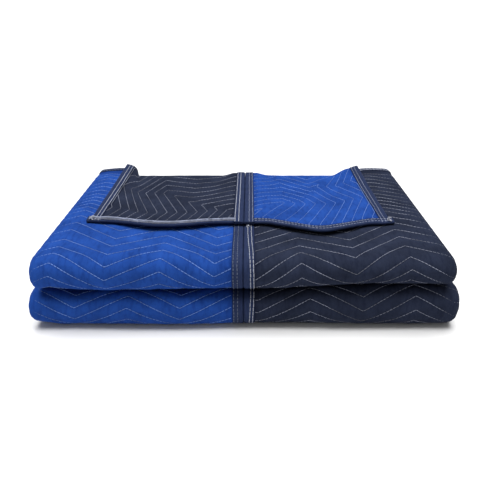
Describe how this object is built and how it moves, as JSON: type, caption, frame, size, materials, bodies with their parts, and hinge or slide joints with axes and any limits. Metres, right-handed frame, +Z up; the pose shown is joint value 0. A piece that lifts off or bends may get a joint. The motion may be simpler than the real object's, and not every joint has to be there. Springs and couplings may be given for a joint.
{
  "type": "folded moving blanket",
  "caption": "Quilted moving blanket of joined blue and black panels, folded in layers into a rectangular pile with a turned-back flap.",
  "frame": {"origin": "middle of the folded pile's footprint, on the surface it rests on", "axes": "+X to the right across the pile, +Y from the two front folds to the flap's fold, +Z up"},
  "size_m": [0.637, 0.415, 0.135],
  "materials": {
    "cloth_left": "quilted woven cotton, royal blue face and black reverse",
    "cloth_right": "quilted woven cotton, black face and royal blue reverse",
    "binding": "woven navy tape with a double row of stitching"
  },
  "bodies": {
    "root": {"panel_left": "cloth_left", "panel_right": "cloth_right", "binding_centre_left": "binding", "binding_centre_right": "binding", "binding_leg_left": "binding", "binding_leg_right": "binding", "binding_flap_side_left": "binding", "binding_flap_side_right": "binding", "binding_hem_left": "binding", "binding_hem_right": "binding", "binding_far_left": "binding", "binding_far_right": "binding", "binding_back_left": "binding", "binding_back_right": "binding"}
  },
  "joints": []
}
